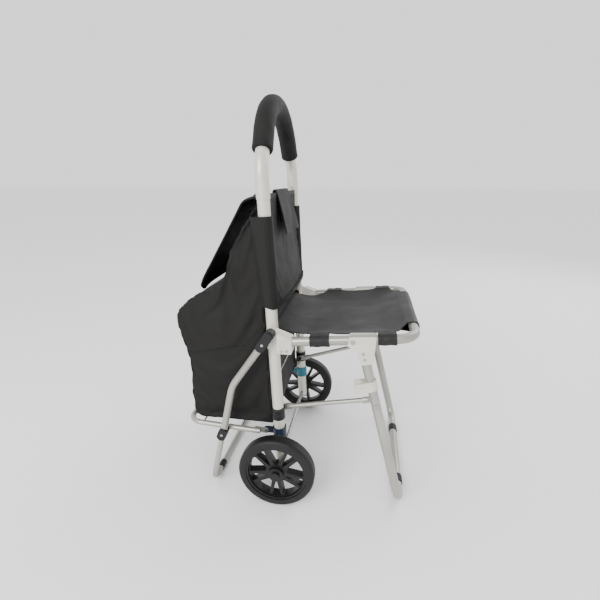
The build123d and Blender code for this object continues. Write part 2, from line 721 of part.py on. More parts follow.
with BuildPart() as cap_screws:
    for side, sign in sides:
        at = (seat_pivot[0] + cap_run.X * 27, seat_pivot[1] + cap_run.Z * 27)
        cross_pin(at, 3, sign * cap_outer, sign * (cap_outer + 1.3))
save(cap_screws.part, "cap_screws")

foot_z = foot_pad + foot_radius
foot_run = Vector(foot_x - knee_low[0], 0, foot_z - knee_low[1])
foot_length = foot_run.length
foot_dir = foot_run.normalized()
foot_plane = Plane(
    origin=spot(knee_low[0], 0, knee_low[1]),
    x_dir=foot_dir,
    z_dir=Vector(0, 1, 0).cross(foot_dir) * -1,
)
with BuildPart() as foot_tube:
    points = [(0, -seat_y), (foot_length, -seat_y), (foot_length, seat_y), (0, seat_y)]
    bent_tube(foot_plane, points, foot_corner_radius, foot_radius, foot_radius - 1.2)
save(foot_tube.part, "foot_tube")

knee_half = 10.5
for side, sign in sides:
    with BuildPart() as knee:
        link(sign, seat_y - knee_half, seat_y + knee_half, (strut_end, knee_low), knee_half)
        peg = (-132.0, 150.4)
        cross_pin(peg, 3.5, sign * tube_y, sign * (seat_y - knee_half + 1))
        strut_dir = Vector(strut_bend[0] - strut_end[0], 0, strut_bend[1] - strut_end[1])
        with BuildSketch(Plane(origin=spot(strut_end[0], sign * seat_y, strut_end[1]),
                               z_dir=strut_dir), mode=Mode.PRIVATE) as upper:
            Circle(strut_radius + seated)
        extrude(upper.sketch, amount=30, mode=Mode.SUBTRACT)
        with BuildSketch(Plane(origin=spot(knee_low[0], sign * seat_y, knee_low[1]),
                               z_dir=foot_dir), mode=Mode.PRIVATE) as lower:
            Circle(foot_radius + seated)
        extrude(lower.sketch, amount=30, mode=Mode.SUBTRACT)
    save(knee.part, f"knee_{side}")

with BuildPart() as knee_rivets:
    for side, sign in sides:
        at = ((strut_end[0] + knee_low[0]) / 2, (strut_end[1] + knee_low[1]) / 2)
        face = seat_y + knee_half
        cross_pin(at, 3.2, sign * face, sign * (face + 1.3))
save(knee_rivets.part, "knee_rivets")

with BuildPart() as foot_pads:
    for side, sign in sides:
        at = Location(spot(foot_x, sign * 118, foot_z), (90, 0, 0))
        with Locations(at):
            Cylinder(foot_radius + foot_pad, 22)
        with Locations(Location(spot(foot_x, sign * 118, foot_pad / 2))):
            Box(11, 22, foot_pad)
        with Locations(at):
            Cylinder(foot_radius + seated, 30, mode=Mode.SUBTRACT)
save(foot_pads.part, "foot_pads")

# ---- platform -------------------------------------------------------------------
with BuildPart() as platform_tube:
    arm_y = platform_eye[1] + 1.3 + platform_radius - 4
    points = [(14, -arm_y), (platform_length, -arm_y), (platform_length, arm_y), (14, arm_y)]
    bent_tube(platform_plane, points, 30, platform_radius, 0)
    for side, sign in sides:
        along = platform_plane.from_local_coords((24, 0, 0))
        link(sign, *platform_eye, (platform_pivot, (along.X - axle_x, along.Z)), 6)
        cross_pin(platform_pivot, 3 + running, sign * (tube_y - 5), sign * (tube_y + 15), Mode.SUBTRACT)
save(platform_tube.part, "platform_tube")

with BuildPart() as platform_wires:
    for reach in (60, 110, 155):
        end = platform_plane.from_local_coords((reach, 0, 0))
        at = (end.X - axle_x, end.Z)
        cross_pin(at, wire_radius, -arm_y + platform_radius + seated, arm_y - platform_radius - seated)
save(platform_wires.part, "platform_wires")

board_half = tube_inner_y - 5
with BuildPart() as base_board:
    floor = bag_bottom + bag_wall + apart
    outline = [(bag_back - 10, floor), (-186, floor), (-186, floor + 3), (bag_back - 10, floor + 3)]
    slab(-1, -board_half, board_half, outline)
save(base_board.part, "base_board")
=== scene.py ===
import bpy
from math import cos, pi, radians, sin, tan
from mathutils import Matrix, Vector


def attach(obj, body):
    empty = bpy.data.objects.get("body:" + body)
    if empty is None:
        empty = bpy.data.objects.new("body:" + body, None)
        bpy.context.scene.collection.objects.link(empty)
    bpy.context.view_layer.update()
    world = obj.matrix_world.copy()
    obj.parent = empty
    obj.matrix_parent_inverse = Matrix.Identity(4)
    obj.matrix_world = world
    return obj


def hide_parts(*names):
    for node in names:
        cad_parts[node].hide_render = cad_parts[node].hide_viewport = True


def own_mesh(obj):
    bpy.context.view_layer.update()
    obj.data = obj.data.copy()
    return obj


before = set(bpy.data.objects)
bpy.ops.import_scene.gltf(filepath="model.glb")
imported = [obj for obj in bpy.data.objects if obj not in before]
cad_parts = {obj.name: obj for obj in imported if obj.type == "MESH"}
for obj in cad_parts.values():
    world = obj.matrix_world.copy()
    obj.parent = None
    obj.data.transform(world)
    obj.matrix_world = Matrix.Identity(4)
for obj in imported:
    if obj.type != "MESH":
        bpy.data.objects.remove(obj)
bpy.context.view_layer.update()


# ---- Aluminium tubes -------------------------------------------------------
# Two leaning uprights, the handle bow, the seat hoop, the rear leg, the front
# leg and the stays are drawn aluminium tube with a pale satin anodised skin.
def shader(name, colour, roughness, metallic=0.0, **sockets):
    """A new material, and its main shader with the plain values set."""
    made = bpy.data.materials.new(name)
    made.use_nodes = True
    main = made.node_tree.nodes["Principled BSDF"]
    main.inputs["Base Color"].default_value = (*colour, 1)
    main.inputs["Roughness"].default_value = roughness
    main.inputs["Metallic"].default_value = metallic
    for socket, value in sockets.items():
        main.inputs[socket.replace("_", " ")].default_value = value
    return made, main


def add_node(material, kind, **inputs):
    node = material.node_tree.nodes.new(kind)
    for socket, value in inputs.items():
        node.inputs[socket.replace("_", " ")].default_value = value
    return node


def join_nodes(material, *pairs):
    for output, socket in pairs:
        material.node_tree.links.new(output, socket)


def grain(material, scale, detail=3.0, stretch=(1, 1, 1)):
    """Noise on the piece's own coordinates, drawn out along an axis by stretch."""
    place = add_node(material, "ShaderNodeTexCoord")
    mapping = add_node(material, "ShaderNodeMapping", Scale=stretch)
    noise = add_node(material, "ShaderNodeTexNoise", Scale=scale, Detail=detail)
    join_nodes(
        material,
        (place.outputs["Object"], mapping.inputs["Vector"]),
        (mapping.outputs["Vector"], noise.inputs["Vector"]),
    )
    return noise.outputs["Fac"]


def ramp(material, source, low, high, dark, light):
    """A colour that runs from dark to light as source goes from low to high."""
    node = add_node(material, "ShaderNodeValToRGB")
    node.color_ramp.elements[0].position = low
    node.color_ramp.elements[0].color = (*dark, 1)
    node.color_ramp.elements[1].position = high
    node.color_ramp.elements[1].color = (*light, 1)
    join_nodes(material, (source, node.inputs["Fac"]))
    return node.outputs["Color"]


def rough_bump(material, main, height, distance, strength=1.0):
    bump = add_node(material, "ShaderNodeBump", Strength=strength, Distance=distance)
    join_nodes(
        material,
        (height, bump.inputs["Height"]),
        (bump.outputs["Normal"], main.inputs["Normal"]),
    )


def tube_skin(name, dark, light, roughness, stretch, metallic):
    made, main = shader(name, light, roughness, metallic)
    cloud = grain(made, 9, 4, (1, 1, 1))
    join_nodes(made, (ramp(made, cloud, 0.3, 0.75, dark, light), main.inputs["Base Color"]))
    lines = grain(made, 900, 2, stretch)
    soft = ramp(made, lines, 0.2, 0.9, (roughness - 0.07,) * 3, (roughness + 0.1,) * 3)
    join_nodes(made, (soft, main.inputs["Roughness"]))
    rough_bump(made, main, lines, 0.00004, 0.5)
    return made


def dress(material, *nodes):
    """Gives CAD nodes a finish in place of the plain one they came with."""
    for name in nodes:
        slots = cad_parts[name].data.materials
        slots.clear()
        slots.append(material)


upright_skin = tube_skin(
    "upright_anodised", (0.56, 0.535, 0.46), (0.68, 0.655, 0.57), 0.4, (1, 1, 0.03), 0.35
)
# The hoop's copy of the same pale anodised skin is painted darker: painted shade and darker
# reflection for the lower tubes.
shaded_hoop_skin = tube_skin(
    "hoop_anodised_painted_shade", (0.3, 0.295, 0.27), (0.43, 0.42, 0.385), 0.34, (0.05, 0.4, 1), 0.6
)
dress(upright_skin, "main_tube_left", "main_tube_right", "handle_bow")
dress(shaded_hoop_skin, "seat_tube", "leg_tube", "foot_tube", "platform_tube", "strut_left", "strut_right")
dress(shaded_hoop_skin, "stay_left", "stay_right")

# ---- Steel fixings ---------------------------------------------------------
# The axle, tie rod, cross bolts, pins, rivets and the two wires under the bag
# are zinc-plated steel, slightly duller than the tubes.
zinc, main = shader("zinc_plate", (0.55, 0.55, 0.55), 0.3, 1.0)
spangle = grain(zinc, 160, 4)
join_nodes(
    zinc,
    (ramp(zinc, spangle, 0.3, 0.7, (0.3, 0.3, 0.3), (0.46, 0.46, 0.45)), main.inputs["Base Color"]),
    (ramp(zinc, spangle, 0.3, 0.8, (0.22,) * 3, (0.42,) * 3), main.inputs["Roughness"]),
)
dress(zinc, "axle", "axle_spacers", "tie_rod", "platform_pins")
dress(zinc, "leg_pivots", "seat_screws", "leg_screws", "cap_screws", "knee_rivets", "stay_rivets")
dress(zinc, "platform_wires", "snap_button_left", "snap_button_right")

# ---- Moulded plastic -------------------------------------------------------
# Off-white nylon brackets and storage clips, black nylon caps, knees, collars,
# plugs and board, a navy clamp on one upright and a teal one on the other.
def moulded(name, dark, light, roughness, shine=0.5):
    made, main = shader(name, light, roughness, Specular_IOR_Level=shine)
    cloud = grain(made, 28, 4)
    pebble = grain(made, 1400, 2)
    patchy = ramp(made, cloud, 0.2, 0.8, (roughness - 0.06,) * 3, (roughness + 0.08,) * 3)
    join_nodes(
        made,
        (ramp(made, cloud, 0.3, 0.7, dark, light), main.inputs["Base Color"]),
        (patchy, main.inputs["Roughness"]),
    )
    rough_bump(made, main, pebble, 0.00006, 0.6)
    return made


white_nylon = moulded("white_nylon", (0.52, 0.505, 0.45), (0.64, 0.62, 0.555), 0.42)
black_nylon = moulded("black_nylon", (0.004, 0.004, 0.0045), (0.01, 0.01, 0.0105), 0.4, 0.3)
navy_nylon = moulded("navy_nylon", (0.003, 0.008, 0.022), (0.008, 0.02, 0.045), 0.38)
teal_nylon = moulded("teal_nylon", (0.0, 0.08, 0.13), (0.004, 0.16, 0.23), 0.36)
dress(white_nylon, "seat_bracket_left", "seat_bracket_right")
dress(white_nylon, "leg_bracket_left", "leg_bracket_right")
dress(white_nylon, "storage_clip_left", "storage_clip_right")
dress(black_nylon, "strut_cap_left", "strut_cap_right", "knee_left", "knee_right")
dress(black_nylon, "stay_clamp_left", "stay_clamp_right", "tube_plugs", "axle_caps")
dress(black_nylon, "frame_bolts", "stay_pins", "base_board")
dress(black_nylon, "wheel_centre_left", "wheel_centre_right", "wheel_bush_left", "wheel_bush_right")
dress(navy_nylon, "platform_clamp_left")
dress(teal_nylon, "platform_clamp_right")

tyre_rubber = moulded("tyre_rubber", (0.004, 0.004, 0.004), (0.009, 0.009, 0.0092), 0.52, 0.3)
dress(tyre_rubber, "tyre_left", "tyre_right", "leg_pads", "foot_pads")

# ---- Bag -------------------------------------------------------------------
# The bag is sewn from coated black polyester: two side panels, and one long
# strip that runs down the front, under the board and up behind the uprights.
# Its mouth is cut out between the side panels, and every seam is bound.
axle_x, axle_z = -20.1, 87.5
lean = radians(2.5)


def at(x, y, z):
    """A point in millimetres, from the axle, the middle plane and the floor."""
    return Vector(((axle_x + x) / 1000, y / 1000, z / 1000))


def tube_x(z):
    """Where the uprights' middle is at height z, leaning back by 2.5 degrees."""
    return -(z - axle_z) * tan(lean)


def only(piece):
    bpy.ops.object.select_all(action="DESELECT")
    piece.select_set(True)
    bpy.context.view_layer.objects.active = piece


def sew_in(piece, name, body, material, slot_name, *stands_for):
    """Names a finished piece, gives it its finish and hangs it on its body."""
    piece.name = name
    piece.data.name = name
    piece.data.materials.clear()
    piece.data.materials.append(material)
    only(piece)
    bpy.ops.object.shade_smooth_by_angle(angle=radians(40))
    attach(piece, body)
    if stands_for:
        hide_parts(*stands_for)
    return piece


def apply_modifier(piece, kind, **settings):
    only(piece)
    modifier = piece.modifiers.new(kind.title(), kind)
    for name, value in settings.items():
        setattr(modifier, name, value)
    bpy.ops.object.modifier_apply(modifier=modifier.name)


def curve_points(points, count):
    """Points evenly spread along a smooth line through the given ones."""
    ends = [2 * points[0] - points[1]] + list(points) + [2 * points[-1] - points[-2]]
    fine = []
    for a, b, c, d in zip(ends, ends[1:], ends[2:], ends[3:]):
        for step in range(16):
            t = step / 16
            fine.append(
                0.5 * (2 * b + (c - a) * t + (2 * a - 5 * b + 4 * c - d) * t * t
                       + (3 * b - a - 3 * c + d) * t ** 3)
            )
    fine.append(points[-1].copy())
    reach = [0.0]
    for a, b in zip(fine, fine[1:]):
        reach.append(reach[-1] + (b - a).length)
    spread, k = [], 0
    for i in range(count):
        goal = reach[-1] * i / (count - 1)
        while k < len(reach) - 2 and reach[k + 1] < goal:
            k += 1
        part = (goal - reach[k]) / max(reach[k + 1] - reach[k], 1e-9)
        spread.append(fine[k].lerp(fine[k + 1], min(part, 1)))
    return spread


def cloth_grid(columns, rows, place):
    """A sheet of even squares, laid out by place(across, along), each 0 to 1."""
    bpy.ops.object.select_all(action="DESELECT")
    bpy.ops.mesh.primitive_grid_add(x_subdivisions=columns, y_subdivisions=rows, size=2)
    made = bpy.context.object
    for vertex in made.data.vertices:
        vertex.co = place((vertex.co.x + 1) / 2, (vertex.co.y + 1) / 2)
    return made


def ribbon(points, across, width, thickness, count=60):
    """A flat strip of webbing or binding along a line, its width along across."""
    line = curve_points([Vector(p) for p in points], count + 1)
    side = Vector(across).normalized() * width / 1000
    made = cloth_grid(4, count, lambda a, b: line[round(b * count)] + side * (a - 0.5))
    apply_modifier(made, "SOLIDIFY", thickness=thickness / 1000, offset=0)
    return made


def piping(points, radius, count=60):
    """A round bound edge along a line."""
    line = curve_points([Vector(p) for p in points], count)
    path = bpy.data.curves.new("piping", "CURVE")
    path.dimensions = "3D"
    path.bevel_depth = radius / 1000
    path.bevel_resolution = 3
    path.use_fill_caps = True
    run = path.splines.new("POLY")
    run.points.add(len(line) - 1)
    for point, co in zip(run.points, line):
        point.co = (*co, 1)
    made = bpy.data.objects.new("piping", path)
    bpy.context.collection.objects.link(made)
    only(made)
    bpy.ops.object.convert(target="MESH")
    return bpy.context.object


def lay_on(piece, cloth, lift):
    """Presses a strip against a cloth, its middle lift millimetres above it."""
    apply_modifier(
        piece, "SHRINKWRAP", target=cloth, wrap_method="NEAREST_SURFACEPOINT",
        wrap_mode="ABOVE_SURFACE", offset=lift / 1000,
    )


def join_pieces(pieces):
    bpy.ops.object.select_all(action="DESELECT")
    for piece in pieces:
        piece.select_set(True)
    bpy.context.view_layer.objects.active = pieces[0]
    bpy.ops.object.join()
    return bpy.context.object


def settle(piece, held, frames, pressure, slack, cap, weight=1.0):
    """Lets a cloth piece fall into its own folds. held(point) says how firmly a
    point is sewn down, slack is the spare cloth, cap the furthest a point goes."""
    sewn = piece.vertex_groups.new(name="sewn")
    rest = [vertex.co.copy() for vertex in piece.data.vertices]
    for vertex in piece.data.vertices:
        hold = held(vertex.co)
        if hold > 0:
            sewn.add([vertex.index], hold, "REPLACE")
    only(piece)
    cloth = piece.modifiers.new("Cloth", "CLOTH")
    cloth.settings.vertex_group_mass = "sewn"
    cloth.settings.quality = 5
    cloth.settings.mass = 0.25
    cloth.settings.tension_stiffness = 12
    cloth.settings.compression_stiffness = 12
    cloth.settings.shear_stiffness = 4
    cloth.settings.bending_stiffness = 0.35
    cloth.settings.shrink_min = -slack
    cloth.settings.use_pressure = pressure != 0
    cloth.settings.uniform_pressure_force = pressure
    cloth.settings.effector_weights.gravity = weight
    cloth.collision_settings.use_collision = False
    cloth.point_cache.frame_end = frames
    for frame_number in range(1, frames + 1):
        bpy.context.scene.frame_set(frame_number)
    bpy.ops.object.modifier_apply(modifier=cloth.name)
    bpy.context.scene.frame_set(1)
    for vertex, start in zip(piece.data.vertices, rest):
        moved = vertex.co - start
        vertex.co = start + moved * (cap / (cap + moved.length))
    piece.vertex_groups.clear()


def woven(name, dark, light, thread, roughness, sheen, painted_sheen_spread=0.5):
    """Close-woven cloth with a dull coating: thread is the weave's pitch in metres."""
    made, main = shader(name, light, roughness, Sheen_Weight=sheen, Sheen_Roughness=0.5)
    main.inputs["Specular IOR Level"].default_value = 0.28
    place = add_node(made, "ShaderNodeTexCoord")
    total = None
    for direction in ("X", "Y", "Z"):
        wave = add_node(made, "ShaderNodeTexWave", Scale=0.314 / thread, Distortion=0.6, Detail=1.0)
        wave.bands_direction = direction
        join_nodes(made, (place.outputs["Object"], wave.inputs["Vector"]))
        if total is None:
            total = wave.outputs["Fac"]
        else:
            more = add_node(made, "ShaderNodeMath")
            join_nodes(made, (total, more.inputs[0]), (wave.outputs["Fac"], more.inputs[1]))
            total = more.outputs["Value"]
    # The large cloud mixes darker and lighter cloth at random; the lighter patches are painted
    # sheen, standing for folds that catch the light.
    cloud = grain(made, 14, 6)
    patchy = ramp(made, cloud, 0.5 - painted_sheen_spread / 2, 0.5 + painted_sheen_spread / 2, dark, light)
    fleck = grain(made, 700, 2)
    mix = add_node(made, "ShaderNodeMix", Factor=0.25)
    mix.data_type = "RGBA"
    mix.blend_type = "MULTIPLY"
    tone = ramp(made, fleck, 0.3, 0.7, (0.55, 0.55, 0.55), (1, 1, 1))
    rub = ramp(made, cloud, 0.3, 0.7, (roughness - 0.1,) * 3, (roughness + 0.08,) * 3)
    join_nodes(
        made,
        (patchy, mix.inputs[6]),
        (tone, mix.inputs[7]),
        (mix.outputs[2], main.inputs["Base Color"]),
        (rub, main.inputs["Roughness"]),
    )
    fold = grain(made, 38, 5)
    weave_bump = add_node(made, "ShaderNodeBump", Strength=0.5, Distance=0.0001)
    fold_bump = add_node(made, "ShaderNodeBump", Strength=0.35, Distance=0.0012)
    join_nodes(
        made,
        (total, weave_bump.inputs["Height"]),
        (fold, fold_bump.inputs["Height"]),
        (fold_bump.outputs["Normal"], weave_bump.inputs["Normal"]),
        (weave_bump.outputs["Normal"], main.inputs["Normal"]),
    )
    return made


bag_cloth = woven(
    "bag_polyester", (0.0028, 0.0026, 0.0023), (0.0075, 0.0071, 0.0063), 0.0011, 0.7, 0.0
)
binding_cloth = woven(
    "edge_binding", (0.002, 0.002, 0.002), (0.005, 0.005, 0.0047), 0.0016, 0.62, 0.0
)
webbing_cloth = woven("webbing", (0.005, 0.005, 0.005), (0.011, 0.011, 0.0105), 0.0022, 0.62, 0.0)

bag_side = 150.0
bag_outline = [
    (-19.8, 174), (-60, 174), (-110, 174), (-160, 174), (-196, 174.5), (-209, 181), (-214, 200),
    (-216, 240), (-214, 280), (-213, 318), (-219, 350), (-229, 385), (-236, 412), (-235, 432),
    (-226, 450), (-205, 469), (-180, 485), (-160, 496), (-140, 506), (-122, 517), (-114, 533),
    (-110, 556), (-103, 577), (-88, 603), (-72, 628), (-56, 650), (-47, 664), (-42, 668),
    (-40, 650), (-37, 560), (-33, 470), (-30, 400), (-25, 300), (-22, 230),
]
bpy.ops.object.select_all(action="DESELECT")
bpy.ops.mesh.primitive_circle_add(vertices=len(bag_outline), fill_type="NGON")
bag = bpy.context.object
for vertex, (x, z) in zip(bag.data.vertices, bag_outline):
    vertex.co = at(x, -bag_side, z)
bpy.ops.object.mode_set(mode="EDIT")
bpy.ops.mesh.select_all(action="SELECT")
bpy.ops.mesh.extrude_region_move(TRANSFORM_OT_translate={"value": (0, bag_side / 500, 0)})
bpy.ops.mesh.select_all(action="SELECT")
bpy.ops.mesh.normals_make_consistent(inside=False)
bpy.ops.object.mode_set(mode="OBJECT")
bag.data.remesh_voxel_size = 0.0055
bag.data.remesh_voxel_adaptivity = 0
bpy.ops.object.voxel_remesh()


def bag_fullness(point):
    """How far the filled bag swells: most on the front, at pocket-top height."""
    x, y, z = point.x * 1000 - axle_x, point.y * 1000, point.z * 1000
    across = max(0.0, 1 - (y / bag_side) ** 2)
    front = min(1.0, max(0.0, (-95 - x) / 90))
    high = max(0.0, 1 - ((z - 405) / 150) ** 2)
    low = max(0.0, 1 - ((z - 245) / 70) ** 2)
    return across * front * (15 * high + 5 * low)


fold_line = [
    (-30, 690), (-56, 643), (-106, 570), (-114, 531), (-123, 493), (-136, 464), (-161, 444),
    (-190, 430),
]


def side_step(x, z):
    """How far a side panel sinks: it steps in at a soft fold below the mouth,
    and a pleat over each lower back corner stands out again."""
    along = 0.0
    for (x0, z0), (x1, z1) in zip(fold_line, fold_line[1:]):
        if z1 <= z <= z0:
            along = x - (x0 + (x1 - x0) * (z0 - z) / (z0 - z1))
    fold = min(1.0, max(0.0, (along + 3) / 9)) * max(0.0, 1 - along / 75) if z < 690 else 0.0
    ridge = max(0.0, 1 - abs(along + 9) / 12) if 436 < z < 560 else 0.0
    pleat = min(abs(x + 90 - (262 - z) * 0.95), abs(x + 90 + (262 - z) * 0.7))
    tuck = max(0.0, 1 - pleat / 8)
    tuck *= min(1.0, max(0.0, (266 - z) / 20)) * min(1.0, max(0.0, (z - 182) / 20))
    return 7.5 * fold * min(1.0, (z - 428) / 25 if z > 428 else 0.0) - 2.5 * ridge - 3.0 * tuck


for vertex in bag.data.vertices:
    if abs(vertex.co.y) > bag_side / 1000 - 0.002:
        step = side_step(vertex.co.x * 1000 - axle_x, vertex.co.z * 1000)
        vertex.co.y -= step / 1000 * (1 if vertex.co.y > 0 else -1)
    vertex.co.x -= bag_fullness(vertex.co) / 1000


def bag_sewn(point):
    """Seams, the back against the uprights and the board's edge stay put."""
    x, y, z = point.x * 1000 - axle_x, point.y * 1000, point.z * 1000
    if x > tube_x(z) - 26 or z < 180:
        return 1.0
    if abs(y) > bag_side - 4:
        near_seam = min(abs(x - a) + abs(z - b) for a, b in bag_outline)
        return 0.9 if near_seam < 9 else 0.0
    return 0.35 if abs(z - 340) < 4 else 0.0


settle(bag, bag_sewn, frames=16, pressure=1.1, slack=0.035, cap=0.011)
only(bag)
bpy.ops.object.voxel_remesh()

# The mouth: a plug of the same side view is taken out between the side panels.
mouth_outline = [
    (-158, 488), (-140, 497), (-118, 507), (-98, 548), (-84, 585), (-58, 630), (-46, 648),
    (-38, 700), (-170, 700), (-230, 560),
]
bpy.ops.object.select_all(action="DESELECT")
bpy.ops.mesh.primitive_circle_add(vertices=len(mouth_outline), fill_type="NGON")
plug = bpy.context.object
for vertex, (x, z) in zip(plug.data.vertices, mouth_outline):
    vertex.co = at(x, 10 - bag_side, z)
bpy.ops.object.mode_set(mode="EDIT")
bpy.ops.mesh.select_all(action="SELECT")
bpy.ops.mesh.extrude_region_move(
    TRANSFORM_OT_translate={"value": (0, (bag_side - 10) / 500, 0)}
)
bpy.ops.mesh.select_all(action="SELECT")
bpy.ops.mesh.normals_make_consistent(inside=False)
bpy.ops.object.mode_set(mode="OBJECT")
for piece in (bag, plug):
    piece.data.materials.clear()
    piece.data.materials.append(bag_cloth)
    piece.data.materials.append(binding_cloth)
for face in plug.data.polygons:
    face.material_index = 1
for face in bag.data.polygons:
    face.material_index = 0
apply_modifier(bag, "BOOLEAN", operation="DIFFERENCE", object=plug, solver="EXACT", use_self=True)
bpy.data.objects.remove(plug)
bpy.ops.object.mode_set(mode="EDIT")
bpy.ops.mesh.select_all(action="DESELECT")
bpy.ops.object.mode_set(mode="OBJECT")
for face in bag.data.polygons:
    face.select = face.material_index == 1
bpy.ops.object.mode_set(mode="EDIT")
bpy.ops.mesh.select_mode(type="FACE")
bpy.ops.mesh.delete(type="FACE")
bpy.ops.object.mode_set(mode="OBJECT")
bag_skin = bag.copy()
bag_skin.data = bag.data.copy()
bpy.context.collection.objects.link(bag_skin)
apply_modifier(bag, "SOLIDIFY", thickness=0.0016, offset=-1)
sew_in(bag, "bag_shell", "frame", bag_cloth, "bag_cloth", "bag_body")

# Bound seams: both edges of the front strip, the pocket's top, and the mouth.
seams = []
seam_line = [(x, z) for x, z in bag_outline[3:19]]
for sign in (-1, 1):
    strip = ribbon([at(x, sign * (bag_side - 1), z) for x, z in seam_line], (0, 1, 0), 7, 1.6, 110)
    lay_on(strip, bag_skin, 0.7)
    seams.append(strip)
    run = [at(tube_x(z) - 18, sign * (bag_side + 2), z) for z in range(182, 640, 36)]
    strip = ribbon(run, (1, 0, 0), 8, 1.2, 90)
    lay_on(strip, bag_skin, 0.5)
    seams.append(strip)
    run = [at(x, sign * (bag_side + 2), z) for x, z in
           ((-216, 340), (-180, 347), (-142, 356), (-105, 364), (-68, 370), (-34, 379))]
    strip = ribbon(run, (0.2, 0, 1), 3.2, 1.0, 90)
    lay_on(strip, bag_skin, 0.35)
    seams.append(strip)
    edge = [
        at(x, sign * (bag_side - 2), z) for x, z in
        ((-158, 491), (-140, 500), (-119, 512), (-107, 553), (-93, 587), (-66, 632), (-46, 657))
    ]
    strip = ribbon(edge, (0.8, 0, -0.5), 9, 1.4, 90)
    lay_on(strip, bag_skin, 0.6)
    seams.append(strip)
front_edge = [at(-159, y, 490.5 - 3 * (y / bag_side) ** 2) for y in range(-148, 149, 37)]
strip = ribbon(front_edge, (-0.8, 0, -0.5), 16, 1.8, 70)
lay_on(strip, bag_skin, 0.9)
seams.append(strip)
for z, width in ((339, 7), (347, 1.2)):
    run = [at(-232, y, z) for y in range(-149, 150, 37)]
    strip = ribbon(run, (0, 0, 1), width, 1.5, 80)
    lay_on(strip, bag_skin, 0.7)
    seams.append(strip)
bag_seams = sew_in(join_pieces(seams), "bag_seams", "frame", binding_cloth, "bag_cloth")

# Two webbing straps are sewn down the front pocket.
straps = []
for y in (-78, 78):
    run = [at(-232, y, z) for z in (188, 215, 245, 275, 300, 330, 360)]
    strip = ribbon(run, (0, 1, 0), 20, 1.6, 60)
    lay_on(strip, bag_skin, 1.4)
    straps.append(strip)
bag_straps = sew_in(join_pieces(straps), "bag_straps", "frame", webbing_cloth, "bag_cloth")

# The empty bag folds flat against the uprights when the platform is swung up; here each bag piece
# only gets its own copy of its mesh.
for piece in (bag, bag_seams, bag_straps):
    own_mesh(piece)

# ---- Lid -------------------------------------------------------------------
# A stiffened cloth flap hangs from the top of the back and falls over the
# mouth. Its outer corners are rounded, its rim bound, and a loop sits on top.
lid_line = [
    at(x, 0, z) for x, z in
    ((-38.5, 684.5), (-60, 684.5), (-76, 680), (-89, 663), (-118, 614), (-148, 564), (-173, 522),
     (-180, 505), (-181, 494))
]
lid_run = curve_points(lid_line, 61)
lid_half = 131.0


def lid_place(across, along):
    point = lid_run[round(along * 60)].copy()
    end = max(0.0, (along - 0.93) / 0.07)
    half = lid_half - 15 * (1 - (1 - min(end, 1) ** 2.2) ** 0.5)
    side = (2 * across - 1)
    point.y = side * half / 1000
    droop = abs(side) ** 5
    point.z -= 0.007 * droop * min(1, along * 4)
    point.x += 0.002 * droop
    return point


def lid_sewn(point):
    """The top is sewn to the bag, and the bound sides are stiffer than the rest."""
    if point.z > 0.672:
        return 1.0
    return 0.6 if abs(point.y) > 0.124 else 0.0


lid = cloth_grid(48, 60, lid_place)
settle(lid, lid_sewn, frames=10, pressure=0, slack=0.02, cap=0.004, weight=0.4)
lid_skin = lid.copy()
lid_skin.data = lid.data.copy()
bpy.context.collection.objects.link(lid_skin)
apply_modifier(lid, "SOLIDIFY", thickness=0.0032, offset=0)
sew_in(lid, "bag_flap", "lid", bag_cloth, "bag_cloth", "bag_lid")
rim = [lid_place(0, b / 30) for b in range(2, 31)]
rim += [lid_place(a / 24, 1) for a in range(1, 24)]
rim += [lid_place(1, b / 30) for b in range(30, 1, -1)]
rim_binding = piping(rim, 2.1, 220)
stitch_line = [lid_place(a / 10, 0.93) + Vector((-0.0015, 0, 0.001)) for a in range(11)]
stitch = ribbon(stitch_line, (0.5, 0, 0.86), 1.2, 0.8, 80)
lay_on(stitch, lid_skin, 1.3)
sew_in(join_pieces([rim_binding, stitch]), "flap_binding", "lid", binding_cloth, "bag_cloth")
loop_line = [
    at(x, y, z) for x, y, z in
    ((-45, -112, 684), (-50, -108, 672), (-62, -104, 664), (-70, -98, 668), (-68, -92, 678),
     (-58, -88, 685.5), (-46, -84, 686.5))
]
loop = ribbon(loop_line, (0.2, 0.6, 0.75), 17, 1.8, 40)
sew_in(loop, "flap_loop", "lid", webbing_cloth, "bag_cloth")

# ---- Backrest --------------------------------------------------------------
# The back of the bag goes on as a sling between the uprights: a sleeve is sewn
# round each one, and the panel between them bellies out towards the seat.
sleeve_radius, upright_y = 14.4, 154.5
back_low, back_high, sleeve_high = 464.0, 690.0, 650.0


def up(z, forward, y):
    """A point beside the uprights: forward of their middle by so much, at y."""
    return at(tube_x(z) + forward * cos(lean), y, z + forward * sin(lean))


back_cloth = woven(
    "backrest_polyester", (0.0028, 0.0026, 0.0023), (0.0072, 0.0068, 0.006), 0.0011, 0.7, 0.0
)
sleeves = []
for sign in (-1, 1):
    def sleeve_place(around, along, sign=sign):
        """Round the upright, then drawn out to the seam on the bag's side."""
        z = back_low + (sleeve_high - back_low) * along
        angle = 2 * pi * around
        slack = 1.0 + 0.5 * sin(9 * angle + 5 * along) + 0.35 * sin(17 * along + 3 * angle)
        out = sleeve_radius + 0.5 * slack
        forward = cos(angle) * out
        if forward < 0:
            forward *= 1.15 + 0.8 * along
        return up(z + 3 * sin(angle * 2) * (1 - along), forward, sign * upright_y + sin(angle) * out)

    sleeve = cloth_grid(48, 44, sleeve_place)
    bpy.ops.object.mode_set(mode="EDIT")
    bpy.ops.mesh.select_all(action="SELECT")
    bpy.ops.mesh.remove_doubles(threshold=0.0002)
    bpy.ops.mesh.normals_make_consistent(inside=False)
    bpy.ops.object.mode_set(mode="OBJECT")
    apply_modifier(sleeve, "SOLIDIFY", thickness=0.0012, offset=1)
    sleeves.append(sleeve)
sew_in(join_pieces(sleeves), "back_sleeves", "frame", back_cloth, "bag_cloth")


